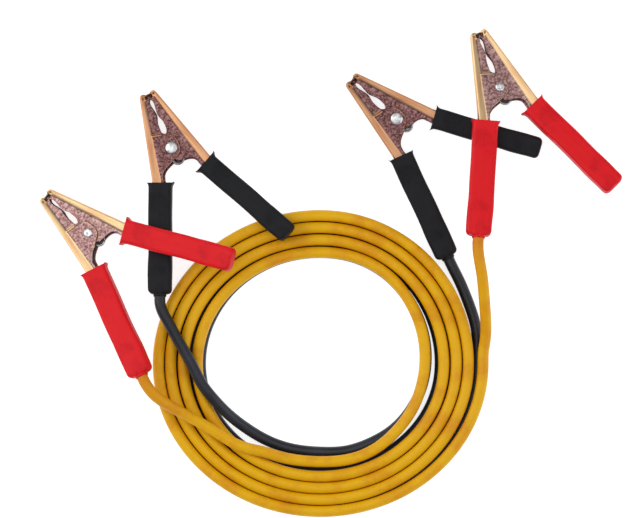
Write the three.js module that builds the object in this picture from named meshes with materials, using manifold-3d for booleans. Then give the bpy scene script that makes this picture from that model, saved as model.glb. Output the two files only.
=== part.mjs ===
// Car jumper cable: a twin cable wound in a flat oval coil, with four copper-plated
// stamped spring clamps. Red grips are on the yellow cable, black grips on the black one.
// Millimetres, +Z up. The set lies on a surface at z = 0, seen from above as it is laid out.
import * as THREE from 'three';
import { mergeVertices } from 'three/addons/utils/BufferGeometryUtils.js';
import Module from 'manifold-3d';

const wasm = await Module();
wasm.setup();

// Sheet, running clearance and the width of a jaw over its folded back
const sheet = 1.0;
const clearance = 0.3;
const jawHalfWidth = 4.8;

// The back of a jaw: a straight spine from the tip, then the tang inside the grip
const spineTop = { x: 6.98, y: 43.5 };
const spineLean = THREE.MathUtils.degToRad(15.5);
const spineBandTop = 3.5;
const spineBandFoot = 5.6;
const tipRadius = 2.9;
const tipDimpleRadius = 0.8;

// The mouth between the jaws: height above the pivot and half of its width
const mouth = [
  [11.2, 0.2], [13, 1.5], [17, 2.3], [22, 2.1], [25.5, 1.3],
  [28.5, 0.7], [31.5, 0.9], [35.5, 1.4], [39.5, 0.9],
];
const toothFoot = 40.7;
const toothPitch = 1.7;
const toothRise = 0.5;
const toothCount = 2;
const toothGap = 0.45;

// Pivot
const rivetRadius = 2.2;
const factoryHeadRadius = 4.45;
const factoryHeadHeight = 1.15;
const peenedHeadRadius = 3.3;
const peenedHeadHeight = 1.05;

// Torsion spring below the rivet, between the lugs
const springWire = 1.1;
const springTurnPitch = 1.2;
const springTurns = 3;
const springRadius = 4.7;
const springCentre = { x: 1.0, y: -9.0 };

// Grips: dipped vinyl sleeves with a flared lip
const gripLean = THREE.MathUtils.degToRad(24.5);
const gripMouth = { x: 18.75, y: -20.55 };
const gripHalfThickness = 6.0;
const gripWall = 0.9;
const gripCorner = 6.0;
const gripEdge = 3.0;
const gripEndWall = 4.0;
const lipLength = 3.4;
const lipProud = 0.15;
const cordHoleClearance = 0.6;
const tangLength = 60;
const tangHalfWidth = 4.8;

const redGrip = { length: 87.5, cableWidth: 19.0, freeWidth: 17.8, lipWidth: 23.0 };
const blackGrip = { length: 83.5, cableWidth: 17.6, freeWidth: 16.0, lipWidth: 20.6 };

// Twin cable: outer diameter of each conductor and the flat oval coil
const cordDiameter = 8.4;
const coilRadius = 121.9;
const coilTurnPitch = 9.8;
const coilTurns = 4;
const coilOval = 0.912;
const blackCoil = { x: -1.1, y: 0, narrower: 3.4 };
const floorGap = 0.1;
const cordInGrip = 6;

// A point by its bearing from the coil's centre in degrees, its distance outside the middle
// of the coil's outer turn (negative is inside it) and its height
function beside([bearing, outside, height]) {
  const a = THREE.MathUtils.degToRad(bearing);
  const away = coilRadius + outside;
  return [away * Math.cos(a), away * Math.sin(a), height];
}

// Where each clamp lies: its pivot beside the coil, heading of its tips from +Y, and the slope
// it rests at
const clampPlaces = {
  left_black: { pivot: [124.56, 74.32, 11.7], heading: 24.6, slope: [0.1, -0.115] },
  left_red: { pivot: [150.52, 76.61, 18.0], heading: 50.3, slope: [0.288, -0.095] },
  right_black: { pivot: [72.71, 70.59, gripHalfThickness + lipProud], heading: 49.2, slope: [0, 0] },
  right_red: { pivot: [57.01, 124.54, 13.0], heading: 20.3, slope: [-0.06, -0.2] },
};

const copper = new THREE.MeshStandardMaterial({ color: 0xd6a077, roughness: 0.36, metalness: 0.9 });
const steel = new THREE.MeshStandardMaterial({ color: 0xc4c6c6, roughness: 0.3, metalness: 1 });
const wire = new THREE.MeshStandardMaterial({ color: 0x8d8f8e, roughness: 0.4, metalness: 1 });
const redVinyl = new THREE.MeshStandardMaterial({ color: 0xd2151d, roughness: 0.45, metalness: 0 });
const blackVinyl = new THREE.MeshStandardMaterial({ color: 0x1f2022, roughness: 0.5, metalness: 0 });
const yellowJacket = new THREE.MeshStandardMaterial({ color: 0xdca60a, roughness: 0.4, metalness: 0 });
const blackJacket = new THREE.MeshStandardMaterial({ color: 0x17191d, roughness: 0.45, metalness: 0 });

// Levels of the pressed sheet above and below a jaw's middle plane
const lugOuter = jawHalfWidth - clearance;
const lugInner = lugOuter - sheet;
const nestedOuter = lugInner - clearance;
const nestedInner = nestedOuter - sheet;

function toSolid(geometry) {
  const bare = geometry.clone();
  bare.deleteAttribute('normal');
  bare.deleteAttribute('uv');
  const merged = mergeVertices(bare, 1e-4);
  const index = merged.index.array;
  const triangles = [];
  for (let i = 0; i < index.length; i += 3) {
    const [a, b, c] = [index[i], index[i + 1], index[i + 2]];
    if (a !== b && b !== c && c !== a) triangles.push(a, b, c);
  }
  return new wasm.Manifold(new wasm.Mesh({
    numProp: 3,
    vertProperties: new Float32Array(merged.attributes.position.array),
    triVerts: new Uint32Array(triangles),
  }));
}

function toGeometry(solid) {
  const mesh = solid.getMesh();
  const geometry = new THREE.BufferGeometry();
  const positions = new Float32Array((mesh.vertProperties.length / mesh.numProp) * 3);
  for (let i = 0; i < positions.length / 3; i += 1) {
    for (let k = 0; k < 3; k += 1) positions[3 * i + k] = mesh.vertProperties[mesh.numProp * i + k];
  }
  geometry.setAttribute('position', new THREE.BufferAttribute(positions, 3));
  geometry.setIndex(new THREE.BufferAttribute(new Uint32Array(mesh.triVerts), 1));
  geometry.computeVertexNormals();
  return geometry;
}

// A flat plate of the given outline between two heights
function plate(points, low, high) {
  const shape = new THREE.Shape(points.map(([x, y]) => new THREE.Vector2(x, y)));
  const geometry = new THREE.ExtrudeGeometry(shape, { depth: high - low, bevelEnabled: false });
  geometry.translate(0, 0, low);
  return toSolid(geometry);
}

// A plate of the given outline, centred on z = 0, with its edges rounded
function cushion(points, halfThickness, edge, segments) {
  const shape = new THREE.Shape(points.map(([x, y]) => new THREE.Vector2(x, y)));
  const geometry = new THREE.ExtrudeGeometry(shape, {
    depth: 2 * (halfThickness - edge),
    bevelEnabled: true,
    bevelThickness: edge,
    bevelSize: edge,
    bevelOffset: -edge,
    bevelSegments: segments,
  });
  geometry.translate(0, 0, edge - halfThickness);
  return toSolid(geometry);
}

function drum(x, y, radius, low, high, sides) {
  const geometry = new THREE.CylinderGeometry(radius, radius, high - low, sides);
  geometry.rotateX(Math.PI / 2);
  geometry.translate(x, y, (low + high) / 2);
  return toSolid(geometry);
}

// The outline moved inwards by a distance; negative moves it outwards
function inset(points, distance) {
  const area = THREE.ShapeUtils.area(points.map(([x, y]) => new THREE.Vector2(x, y)));
  const turn = Math.sign(area);
  const count = points.length;
  return points.map((point, i) => {
    const before = points[(i + count - 1) % count];
    const after = points[(i + 1) % count];
    const first = new THREE.Vector2(point[0] - before[0], point[1] - before[1]).normalize();
    const second = new THREE.Vector2(after[0] - point[0], after[1] - point[1]).normalize();
    const n1 = new THREE.Vector2(-first.y, first.x).multiplyScalar(turn);
    const n2 = new THREE.Vector2(-second.y, second.x).multiplyScalar(turn);
    const middle = n1.clone().add(n2);
    const reach = distance / (1 + n1.dot(n2));
    return [point[0] + middle.x * reach, point[1] + middle.y * reach];
  });
}

const mirror = (points, side) => points.map(([x, y]) => [side * x, y]);

// Directions of the spine and of the grip on the free (+X) side, seen from the tips
const spineWay = { x: Math.sin(spineLean), y: -Math.cos(spineLean) };
const gripWay = { x: Math.sin(gripLean), y: -Math.cos(gripLean) };
const gripOut = { x: Math.cos(gripLean), y: Math.sin(gripLean) };

// A point of the grip's own frame: along it from its mouth, and outwards from its axis
function gripPoint(along, out) {
  return [
    gripMouth.x + gripWay.x * along + gripOut.x * out,
    gripMouth.y + gripWay.y * along + gripOut.y * out,
  ];
}

// Where a line down the back of the spine, moved inwards, meets the side of the tang
function spineMeetsTang(inwards, out) {
  const start = {
    x: spineTop.x - Math.cos(spineLean) * inwards,
    y: spineTop.y - Math.sin(spineLean) * inwards,
  };
  const [gx, gy] = gripPoint(0, out);
  const cross = spineWay.x * gripWay.y - spineWay.y * gripWay.x;
  const run = ((gx - start.x) * gripWay.y - (gy - start.y) * gripWay.x) / cross;
  return [start.x + spineWay.x * run, start.y + spineWay.y * run];
}

// The folded back of a jaw on the +X side: rounded tip, spine band and tang
function backOutline() {
  const centre = { x: spineTop.x - tipRadius + 0.25, y: spineTop.y - 0.3 };
  const tip = [];
  for (const angle of [0, 55, 95, 135, 180]) {
    const a = THREE.MathUtils.degToRad(angle);
    tip.push([centre.x + tipRadius * Math.cos(a), centre.y + tipRadius * Math.sin(a)]);
  }
  const bandTop = [spineTop.x + spineWay.x * 3 - spineBandTop, spineTop.y - 3];
  const mouthY = gripMouth.y + 3.3;
  const backX = spineTop.x + Math.tan(spineLean) * (spineTop.y - mouthY);
  const bandFoot = [backX - spineBandFoot / Math.cos(spineLean), mouthY];
  return [
    ...tip.slice(1),
    bandTop,
    bandFoot,
    gripPoint(1, -tangHalfWidth),
    gripPoint(tangLength, -tangHalfWidth),
    gripPoint(tangLength, tangHalfWidth),
    spineMeetsTang(0, tangHalfWidth),
    [spineTop.x, spineTop.y],
  ];
}

// The edge of a jaw's flange along the mouth, from the pivot up to the teeth
function mouthEdge(side) {
  const edge = mouth.map(([y, half]) => [side * half, y]);
  for (let i = 0; i <= 2 * toothCount; i += 1) {
    let lean = 0;
    if (i > 0 && i < 2 * toothCount) lean = i % 2 ? toothRise : -toothRise;
    edge.push([lean + (side * toothGap) / 2, toothFoot + (i * toothPitch) / 2]);
  }
  return edge;
}

const toothTop = toothFoot + toothCount * toothPitch;
const tipEdge = [[0.9, toothTop + 1.4], [2.4, toothTop + 1.9], [4.2, toothTop + 1.5]];

// Middle of the spine band at a height, where flanges run into the folded back
function bandMiddle(y) {
  const backX = spineTop.x + Math.tan(spineLean) * (spineTop.y - y);
  return [backX - spineBandTop / 2 - 0.2, y];
}

function foldedBack(side) {
  const outline = backOutline();
  const shell = plate(mirror(outline, side), -jawHalfWidth, jawHalfWidth);
  const hollow = jawHalfWidth - sheet;
  const inner = plate(mirror(inset(outline, sheet), side), -hollow, hollow);
  const slotTop = toothFoot - 1;
  const slot = [
    [0, slotTop],
    bandMiddle(slotTop),
    bandMiddle(gripMouth.y + 3.3),
    gripPoint(0, 0),
    gripPoint(tangLength + 1, 0),
    gripPoint(tangLength + 1, -tangHalfWidth - 1),
    [0, gripPoint(0, -tangHalfWidth - 1)[1] - 4],
  ];
  const opening = plate(mirror(slot, side), -nestedInner, nestedInner);
  return shell.subtract(inner).subtract(opening);
}

// Two equal plates, one on each side of the middle plane
function plates(points, low, high) {
  return plate(points, low, high).add(plate(points, -high, -low));
}

function drill(solid, side) {
  const bore = drum(0, 0, rivetRadius + clearance, -jawHalfWidth - 1, jawHalfWidth + 1, 14);
  const dimpleX = side * (spineTop.x - tipRadius + 0.4);
  const dimple = drum(dimpleX, spineTop.y - 0.5, tipDimpleRadius, -jawHalfWidth - 1, jawHalfWidth + 1, 8);
  return solid.subtract(bore).subtract(dimple);
}

// Free jaw (+X side): one flange level all the way, nested inside the other jaw's lugs
function freeJaw() {
  const nest = rivetRadius + clearance + 4.8;
  const hidden = [];
  for (const angle of [115, 145, 180, 215, 245]) {
    const a = THREE.MathUtils.degToRad(angle);
    hidden.push([nest * Math.cos(a), nest * Math.sin(a)]);
  }
  const flange = [
    ...mouthEdge(1),
    ...tipEdge,
    bandMiddle(toothFoot),
    bandMiddle(0),
    bandMiddle(gripMouth.y + 3.3),
    gripPoint(3, -tangHalfWidth + 2),
    gripPoint(3, -tangHalfWidth),
    [15.0, -18.4],
    [13.9, -14.9],
    [10.9, -12.6],
    [7.3, -11.6],
    [1.0, -10.7],
    ...hidden.reverse(),
  ];
  return drill(foldedBack(1).add(plates(flange, nestedInner, nestedOuter)), 1);
}

// Cable jaw (-X side): its flanges step out above the mouth's foot and lie over the free jaw
function cableJaw() {
  const lugEdge = [
    [-0.9, 11.35], [-1.2, 11.2], [-3.6, 9.2], [-5.1, 6.7], [-6.1, 3.6], [-6.2, 0.9],
    [-5.5, -3.4], [-4.3, -5.6], [-1.8, -7.1], [5.1, -10.3], [9.8, -12.2],
    [14.2, -14.9], [16.9, -18.6],
  ];
  const foldTop = 14.8;
  const lug = [
    [6.2, foldTop],
    ...lugEdge,
    gripPoint(3, -tangHalfWidth),
    gripPoint(3, -tangHalfWidth + 2),
    bandMiddle(gripMouth.y + 3.3),
    bandMiddle(0),
    bandMiddle(foldTop),
  ];
  const foldFoot = foldTop - sheet;
  const tipFlange = [
    [2.3, foldFoot],
    ...mouthEdge(-1).filter(([, y]) => y > foldTop).map(([x, y]) => [-x, y]),
    ...tipEdge,
    bandMiddle(toothFoot),
    bandMiddle(foldFoot),
  ];
  const fold = [[2.3, foldFoot], [2.3, foldTop], bandMiddle(foldTop), bandMiddle(foldFoot)];
  const solid = foldedBack(-1)
    .add(plates(mirror(lug, -1), lugInner, lugOuter))
    .add(plates(mirror(tipFlange, -1), nestedInner, nestedOuter))
    .add(plates(mirror(fold, -1), nestedInner, lugOuter));
  return drill(solid, -1);
}

// Solid rivet through both jaws: a domed factory head and a smaller peened end
function rivet(factoryHeadUp) {
  const seat = lugOuter + clearance;
  const up = factoryHeadUp ? 1 : -1;
  const profile = [
    [0, -seat - peenedHeadHeight + 0.45],
    [0.8, -seat - peenedHeadHeight + 0.45],
    [1.3, -seat - peenedHeadHeight],
    [2.4, -seat - peenedHeadHeight],
    [peenedHeadRadius, -seat - peenedHeadHeight * 0.55],
    [peenedHeadRadius, -seat],
    [rivetRadius, -seat],
    [rivetRadius, seat],
    [factoryHeadRadius, seat],
    [factoryHeadRadius * 0.94, seat + factoryHeadHeight * 0.45],
    [factoryHeadRadius * 0.62, seat + factoryHeadHeight * 0.88],
    [0, seat + factoryHeadHeight],
  ];
  const geometry = new THREE.LatheGeometry(profile.map(([r, y]) => new THREE.Vector2(r, y)), 12);
  geometry.rotateX((up * Math.PI) / 2);
  return toGeometry(toSolid(geometry));
}

// A round rod along a smooth line through the points
function rod(points, radius, sides, steps) {
  const ring = [];
  for (let i = 0; i < sides; i += 1) {
    const a = (2 * Math.PI * (i + 0.5)) / sides;
    ring.push(new THREE.Vector2(radius * Math.cos(a), radius * Math.sin(a)));
  }
  const path = new THREE.CatmullRomCurve3(points.map(([x, y, z]) => new THREE.Vector3(x, y, z)));
  const geometry = new THREE.ExtrudeGeometry(new THREE.Shape(ring), { steps, extrudePath: path });
  return toGeometry(toSolid(geometry));
}

function spring() {
  const points = [];
  const legTop = ((springTurns - 1) * springTurnPitch) / 2;
  const backInner = sheet + clearance + springWire / 2;
  const [farX, farY] = gripPoint(17, tangHalfWidth - backInner);
  const [restX, restY] = gripPoint(12, tangHalfWidth - backInner);
  const [nearX, nearY] = gripPoint(6, tangHalfWidth - backInner - 1);
  points.push([-farX, farY, -legTop], [-restX, restY, -legTop], [-nearX, nearY, -legTop]);
  const perTurn = 8;
  const start = 235;
  const sweep = 360 * (springTurns - 1) + 250;
  const count = Math.round((perTurn * sweep) / 360);
  for (let i = 0; i <= count; i += 1) {
    const part = i / count;
    const a = THREE.MathUtils.degToRad(start - sweep * part);
    const x = springCentre.x + springRadius * Math.cos(a);
    const y = springCentre.y + springRadius * Math.sin(a);
    points.push([x, y, legTop * (2 * part - 1)]);
  }
  points.push([nearX, nearY, legTop], [restX, restY, legTop], [farX, farY, legTop]);
  return rod(points, springWire / 2, 5, 36);
}

// Grip in its own frame: mouth at the origin, running along -Y
function grip(kind, width, withCable) {
  const half = width / 2;
  const outline = (halfWidth, top, bottom, corner) => {
    const points = [[halfWidth, top], [-halfWidth, top]];
    for (const side of [-1, 1]) {
      for (let i = 0; i <= 3; i += 1) {
        const a = THREE.MathUtils.degToRad(side < 0 ? 180 + i * 30 : 270 + i * 30);
        points.push([
          side * (halfWidth - corner) + corner * Math.cos(a),
          bottom + corner + corner * Math.sin(a),
        ]);
      }
    }
    return points;
  };
  const overrun = gripEdge + 1;
  const lipHalf = kind.lipWidth / 2;
  const mouthCut = plate([[-lipHalf - 9, 0], [lipHalf + 9, 0], [lipHalf + 9, 30], [-lipHalf - 9, 30]], -30, 30);
  const sleeve = cushion(outline(half, overrun, -kind.length, gripCorner), gripHalfThickness, gripEdge, 2);
  const lipShape = [
    [lipHalf, 2], [-lipHalf, 2], [-lipHalf, 0], [-lipHalf + 0.4, -1.2],
    [-half - 0.3, -lipLength], [half + 0.3, -lipLength], [lipHalf - 0.4, -1.2], [lipHalf, 0],
  ];
  const lip = cushion(lipShape, gripHalfThickness + lipProud, 0.2, 1);
  const cavityEnd = gripEndWall - kind.length;
  const cavityHalf = gripHalfThickness - gripWall;
  const cavity = cushion(outline(half - gripWall, overrun, cavityEnd, gripCorner - gripWall), cavityHalf, 1, 1);
  let solid = sleeve.add(lip).subtract(mouthCut).subtract(cavity);
  if (withCable) {
    const boreRadius = cordDiameter / 2 + cordHoleClearance;
    const bore = new THREE.CylinderGeometry(boreRadius, boreRadius, 20, 12);
    bore.translate(0, -kind.length, 0);
    solid = solid.subtract(toSolid(bore));
  }
  return toGeometry(solid);
}

function part(name, geometry, material) {
  const mesh = new THREE.Mesh(geometry, material);
  mesh.name = name;
  return mesh;
}

function placeGrip(mesh, side) {
  mesh.position.set(side * gripMouth.x, gripMouth.y, 0);
  mesh.rotation.z = side * gripLean;
  return mesh;
}

const cableJawSolid = toGeometry(cableJaw());
const freeJawSolid = toGeometry(freeJaw());
const springSolid = spring();

function clamp(name, kind, vinyl, factoryHeadUp) {
  const place = clampPlaces[name];
  const group = new THREE.Group();
  group.add(part(`${name}_cable_jaw`, cableJawSolid, copper));
  group.add(part(`${name}_free_jaw`, freeJawSolid, copper));
  group.add(part(`${name}_rivet`, rivet(factoryHeadUp), steel));
  group.add(part(`${name}_spring`, springSolid, wire));
  group.add(placeGrip(part(`${name}_cable_grip`, grip(kind, kind.cableWidth, true), vinyl), -1));
  group.add(placeGrip(part(`${name}_free_grip`, grip(kind, kind.freeWidth, false), vinyl), 1));
  const up = new THREE.Vector3(-place.slope[0], -place.slope[1], 1).normalize();
  const lean = new THREE.Quaternion().setFromUnitVectors(new THREE.Vector3(0, 0, 1), up);
  const heading = new THREE.Quaternion().setFromAxisAngle(
    new THREE.Vector3(0, 0, 1),
    THREE.MathUtils.degToRad(place.heading),
  );
  group.quaternion.copy(lean.multiply(heading));
  group.position.set(...beside(place.pivot));
  group.updateMatrixWorld(true);
  return group;
}

// A point on the axis of a clamp's cable grip, measured along it from the mouth
function cablePoint(group, along) {
  const [x, y] = gripPoint(along, 0);
  const point = new THREE.Vector3(-x, y, 0).applyMatrix4(group.matrixWorld);
  return [point.x, point.y, point.z];
}

const leftBlack = clamp('left_black', blackGrip, blackVinyl, true);
const leftRed = clamp('left_red', redGrip, redVinyl, false);
const rightBlack = clamp('right_black', blackGrip, blackVinyl, true);
const rightRed = clamp('right_red', redGrip, redVinyl, false);

// Coil of touching turns: oval on three quarters, round on the quarter where each turn
// steps in to the next one, so the innermost turn leaves it there
const cordRadius = cordDiameter / 2;
const blackLevel = cordRadius + floorGap;
const yellowLevel = blackLevel + cordDiameter + clearance;

function turnsRing(outerRadius, turns) {
  const top = [];
  const bottom = [];
  for (let k = 0; k < turns; k += 1) {
    const centre = outerRadius - k * coilTurnPitch;
    for (const angle of [45, 90, 135]) {
      const a = THREE.MathUtils.degToRad(angle);
      const reach = angle === 90 ? cordRadius : cordRadius / Math.cos(Math.PI / 8);
      const bulge = Math.min(reach, cordRadius * 1.05);
      top.push([centre + bulge * Math.cos(a), bulge * Math.sin(a)]);
      bottom.unshift([centre + bulge * Math.cos(a), -bulge * Math.sin(a)]);
    }
  }
  const inner = outerRadius - (turns - 1) * coilTurnPitch - cordRadius;
  const profile = [
    [outerRadius + cordRadius, 0],
    ...top,
    [inner, 0],
    ...bottom,
    [outerRadius + cordRadius, 0],
  ];
  const points = profile.map(([r, z]) => new THREE.Vector2(r, z));
  const geometry = new THREE.LatheGeometry(points, 30);
  geometry.rotateX(Math.PI / 2);
  return geometry;
}

function coil(name, outerRadius, level, material) {
  const size = 2 * coilRadius;
  const corner = (edge) => plate([[edge, edge], [size, edge], [size, size], [edge, size]], -size, size);
  const oval = toSolid(turnsRing(outerRadius, coilTurns).scale(1, coilOval, 1));
  const round = toSolid(turnsRing(outerRadius, coilTurns - 1).scale(coilOval, coilOval, 1));
  const lap = 0.02;
  const solid = oval.subtract(corner(0)).add(round.intersect(corner(-lap)));
  const mesh = part(name, toGeometry(solid), material);
  mesh.position.z = level;
  return mesh;
}

const yellowCoil = coil('yellow_coil', coilRadius, yellowLevel, yellowJacket);
const blackCoilMesh = coil('black_coil', coilRadius - blackCoil.narrower, blackLevel, blackJacket);
blackCoilMesh.position.x = blackCoil.x;
blackCoilMesh.position.y = blackCoil.y;

// The stretches of cable outside the coil, from each grip to the coil's turns
function lead(name, group, kind, points, steps, material) {
  const inside = cablePoint(group, kind.length - cordInGrip);
  const mouthOut = cablePoint(group, kind.length + 1);
  const leaving = cablePoint(group, kind.length + 6);
  return part(name, rod([inside, mouthOut, leaving, ...points.map(beside)], cordRadius, 8, steps), material);
}

const overCoil = yellowLevel + cordDiameter + clearance + 0.5;
const yellowLeadRight = lead('yellow_lead_right', rightRed, redGrip, [
  [29.46, 17.18, 35.4], [22.31, 10.84, 28.6], [14.88, 6.2, 21], [8.25, 2.89, yellowLevel + 2.4],
  [3.75, 0.46, yellowLevel + 0.4], [0.28, 0, yellowLevel],
], 16, yellowJacket);
const blackLeadRight = lead('black_lead_right', rightBlack, blackGrip, [
  [30.47, 1.55, blackLevel + 0.5], [23.94, 0.32, blackLevel], [17.69, -0.77, blackLevel],
  [11.5, -1.99, blackLevel], [4.86, -3.88, blackLevel], [0.29, -4.5, blackLevel],
], 14, blackJacket);
const yellowLeadLeft = lead('yellow_lead_left', leftRed, redGrip, [
  [-168.96, -0.76, 34], [-164.54, -7.87, 27], [-158.59, -16.42, overCoil + 0.8], [-152.4, -23.27, overCoil],
  [-145.69, -29.29, overCoil], [-138.4, -33.64, overCoil + 0.1], [-130.67, -38.58, overCoil - 1],
  [-122.66, -43.51, yellowLevel + 4.8], [-114.82, -45.66, yellowLevel + 2.4], [-106.79, -47.11, yellowLevel + 0.6],
  [-90.31, -48.5, yellowLevel],
  [-74.07, -47.23, yellowLevel], [-58.05, -46.12, yellowLevel], [-42.07, -45.93, yellowLevel],
  [-26.36, -45.11, yellowLevel], [-10.86, -44.41, yellowLevel], [4.3, -43.28, yellowLevel],
  [19.05, -41.92, yellowLevel], [33.57, -40.53, yellowLevel], [47.78, -38.86, yellowLevel],
  [62.09, -37.93, yellowLevel], [76.36, -37.93, yellowLevel], [84.51, -38.22, yellowLevel],
  [89.59, -38, yellowLevel],
], 36, yellowJacket);
const blackLeadLeft = lead('black_lead_left', leftBlack, blackGrip, [
  [160.37, 0.41, overCoil + 2.0], [164.99, -6.46, overCoil + 0.6], [169.69, -12.94, overCoil],
  [174.85, -19.39, overCoil], [-179.34, -25.89, overCoil], [-170.41, -31.84, overCoil - 0.6],
  [-161.91, -37.53, overCoil - 3.0], [-153.69, -42.03, overCoil - 7.5], [-138.42, -48.37, blackLevel + 3.5],
  [-122.89, -52.11, blackLevel + 0.4], [-106.68, -54.67, blackLevel], [-90.35, -55.5, blackLevel],
  [-73.85, -53.6, blackLevel], [-57.89, -51.54, blackLevel], [-42.2, -49.55, blackLevel],
  [-26.43, -47.98, blackLevel], [-10.87, -47.16, blackLevel], [4.47, -46.27, blackLevel],
  [19.65, -44.6, blackLevel], [34.25, -43.02, blackLevel], [48.14, -41.88, blackLevel],
  [62.42, -41.12, blackLevel], [76.65, -41.32, blackLevel], [85.02, -41.2, blackLevel],
  [90.35, -41, blackLevel],
], 38, blackJacket);

// The origin is on the surface, below the middle of the four clamps' outline
const reach = new THREE.Box3();
for (const group of [leftBlack, leftRed, rightBlack, rightRed]) reach.expandByObject(group, true);
const set = new THREE.Group();
set.add(leftBlack, leftRed, rightBlack, rightRed, yellowCoil, blackCoilMesh);
set.add(yellowLeadRight, blackLeadRight, yellowLeadLeft, blackLeadLeft);
set.position.set(-(reach.min.x + reach.max.x) / 2, -(reach.min.y + reach.max.y) / 2, 0);

export default set;
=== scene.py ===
"""Car jumper cable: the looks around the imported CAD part, in metres and in its frame."""

import bpy
import numpy as np
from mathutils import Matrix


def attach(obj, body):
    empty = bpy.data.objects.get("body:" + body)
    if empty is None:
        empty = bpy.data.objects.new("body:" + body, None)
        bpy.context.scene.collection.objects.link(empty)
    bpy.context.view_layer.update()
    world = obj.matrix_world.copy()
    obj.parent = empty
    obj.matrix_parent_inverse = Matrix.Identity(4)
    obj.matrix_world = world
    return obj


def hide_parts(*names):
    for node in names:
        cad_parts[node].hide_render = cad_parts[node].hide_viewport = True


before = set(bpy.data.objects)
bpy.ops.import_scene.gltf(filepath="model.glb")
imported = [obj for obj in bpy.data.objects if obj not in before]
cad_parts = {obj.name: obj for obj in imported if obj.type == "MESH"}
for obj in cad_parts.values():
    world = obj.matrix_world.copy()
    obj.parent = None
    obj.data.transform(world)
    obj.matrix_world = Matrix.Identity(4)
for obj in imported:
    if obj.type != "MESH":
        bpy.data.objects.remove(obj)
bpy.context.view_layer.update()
scene = bpy.context.scene

# Studio
# A white sheet lies under the set. Wide soft lights stand at the left and right, and a weaker one hangs
# above. The camera looks straight down from far away, so a millimetre has one size all over the picture.

MM = 0.001
PIXEL = 0.75 * MM
PICTURE_WIDTH = 640
PICTURE_MIDDLE = np.array([320, 259])
ORIGIN_IN_PICTURE = np.array([329.45, 202.76])
aim = (PICTURE_MIDDLE - ORIGIN_IN_PICTURE) * [1, -1] * PIXEL
camera_height = 6.0
cable_height = 13 * MM

camera = bpy.data.objects.new("camera", bpy.data.cameras.new("camera"))
scene.collection.objects.link(camera)
camera.location = (*aim, camera_height + cable_height)
camera.data.lens = camera.data.sensor_width * camera_height / (PICTURE_WIDTH * PIXEL)
camera.data.clip_start = 0.1
camera.data.clip_end = 100
scene.camera = camera
scene.view_settings.view_transform = "Standard"


def soft_light(name, where, towards, width, depth, watts):
    """Adds a rectangular area light at one point, turned to face another."""
    light = bpy.data.lights.new(name, "AREA")
    light.shape = "RECTANGLE"
    light.size = width
    light.size_y = depth
    light.energy = watts
    holder = bpy.data.objects.new(name, light)
    scene.collection.objects.link(holder)
    reach = np.subtract(towards, where)
    level = np.hypot(reach[0], reach[1])
    holder.location = where
    holder.rotation_euler = (np.arctan2(level, -reach[2]), 0, np.arctan2(-reach[0], reach[1]))


soft_light("light_above", (-0.1, 0.15, 1.5), (0, -0.05, 0), 1.7, 1.4, 8)
soft_light("light_left", (-2.3, 0.7, 1.5), (0, 0, 0), 2.8, 2.4, 42)
soft_light("light_right", (2.3, -0.5, 1.3), (0, 0, 0), 2.6, 2.2, 26)
world = bpy.data.worlds.new("studio")
scene.world = world
world.use_nodes = True
surround = world.node_tree.nodes["Background"]
surround.inputs["Color"].default_value = (0.86, 0.9, 1, 1)
surround.inputs["Strength"].default_value = 0.5


def new_material(name, **fixed):
    """A node material and its Principled shader, whose constant values are set on its own sockets."""
    material = bpy.data.materials.new(name)
    material.use_nodes = True
    shader = material.node_tree.nodes["Principled BSDF"]
    for socket, value in fixed.items():
        shader.inputs[socket.replace("_", " ")].default_value = value
    return material, shader


def new_piece(name, points, faces, material, laid=None):
    """A mesh object at the origin from points in millimetres. laid is the place of each point on its
    own surface, kept in metres for patterns that follow the piece."""
    mesh = bpy.data.meshes.new(name)
    mesh.from_pydata((np.asarray(points, float) * MM).tolist(), [], faces)
    mesh.materials.append(material)
    mesh.polygons.foreach_set("use_smooth", np.ones(len(mesh.polygons), bool))
    if laid is not None:
        mesh.attributes.new("laid", "FLOAT_VECTOR", "POINT")
        mesh.attributes["laid"].data.foreach_set("vector", (np.asarray(laid, float) * MM).ravel())
    mesh.update()
    piece = bpy.data.objects.new(name, mesh)
    scene.collection.objects.link(piece)
    return piece


def soften(piece, width, degrees):
    """Bevels the edges of a piece that are sharper than an angle."""
    soft = piece.modifiers.new("soft_edge", "BEVEL")
    soft.width = width * MM
    soft.segments = 2
    soft.limit_method = "ANGLE"
    soft.angle_limit = np.radians(degrees)


white_sheet = new_material(
    "white_sheet",
    Base_Color=(0.6, 0.6, 0.6, 1),
    Roughness=0.7,
    Specular_IOR_Level=0.1,
    Emission_Color=(1, 1, 1, 1),
    Emission_Strength=0.75,
)[0]
half_sheet = 6000
sheet_level = -0.2
sheet_corners = [
    [-half_sheet, -half_sheet, sheet_level],
    [half_sheet, -half_sheet, sheet_level],
    [half_sheet, half_sheet, sheet_level],
    [-half_sheet, half_sheet, sheet_level],
]
studio_sheet = new_piece("studio_sheet", sheet_corners, [[0, 1, 2, 3]], white_sheet)

# Twin cable
# Two conductors of fine copper strands in soft PVC, yellow and black, each 8.4 mm over its jacket. They are
# wound together in four flat oval turns and part of a fifth, and come apart at both ends to the clamps.

CORD_DIAMETER = 8.4
CORD_SIDES = 26
NEAR_CLAMP_REACH = 26.0
ROUTE_STEP = 2.6
LAYOUT_SHIFT = np.array([-6.712, -120.781, 0])
YELLOW_LEVEL = 13.0
BLACK_LEVEL = 4.3


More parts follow.
